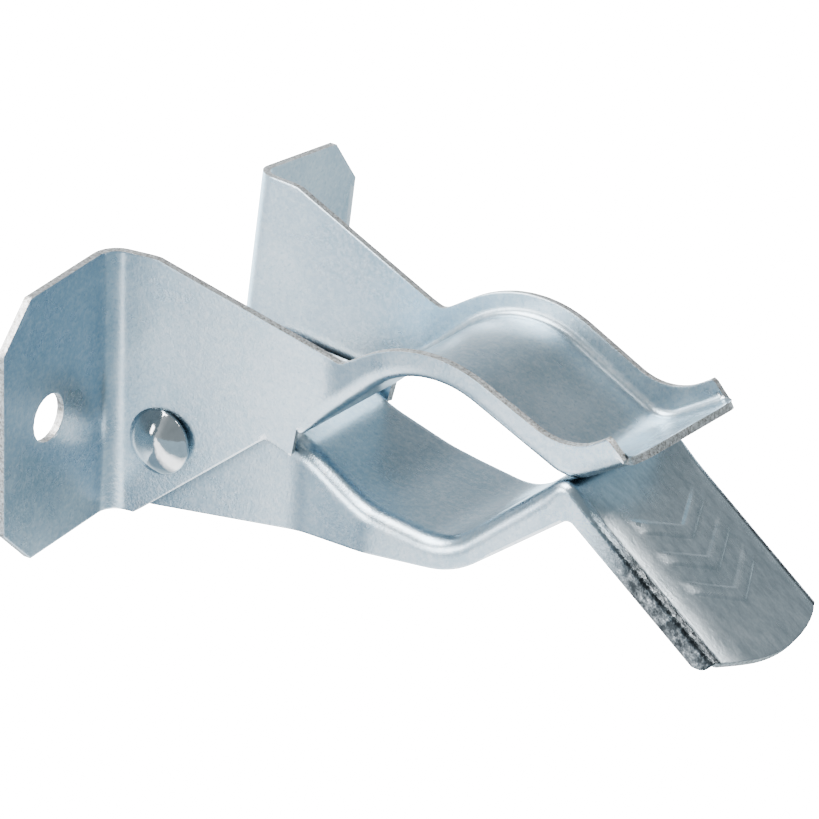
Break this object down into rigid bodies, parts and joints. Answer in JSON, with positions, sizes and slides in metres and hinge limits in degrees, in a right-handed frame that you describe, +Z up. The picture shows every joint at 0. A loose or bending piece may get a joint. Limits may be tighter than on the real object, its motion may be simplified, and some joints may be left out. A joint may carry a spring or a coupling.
{
  "type": "spring grip",
  "caption": "Wall-mounted sheet-steel spring grip: a sprung lower jaw pivots on a rivet under a fixed arched jaw to hold a round tool handle.",
  "frame": {"origin": "midway between the two screw holes, on the wall face of the flanges", "axes": "+X out from the wall along the jaws, +Y across the grip along the hinge pin, +Z up"},
  "size_m": [0.092, 0.0778, 0.0379],
  "materials": {
    "zinc_plate": "satin blue-passivated zinc",
    "rivet_steel": "bright zinc",
    "spring_steel": "drawn wire"
  },
  "bodies": {
    "bracket": {"upper_bracket": "zinc_plate", "pivot_rivet": "rivet_steel", "torsion_spring": "spring_steel"},
    "jaw": {"lower_jaw": "zinc_plate"}
  },
  "joints": [
    {"name": "jaw_hinge", "type": "hinge", "parent": "bracket", "child": "jaw", "pos_m": [0.0083, 0, -0.00566], "axis": [0, 1, 0], "range_deg": [0, 25], "stiffness_Nm_per_rad": 0.6, "springref_deg": -34.38, "deforming": ["torsion_spring"]}
  ]
}
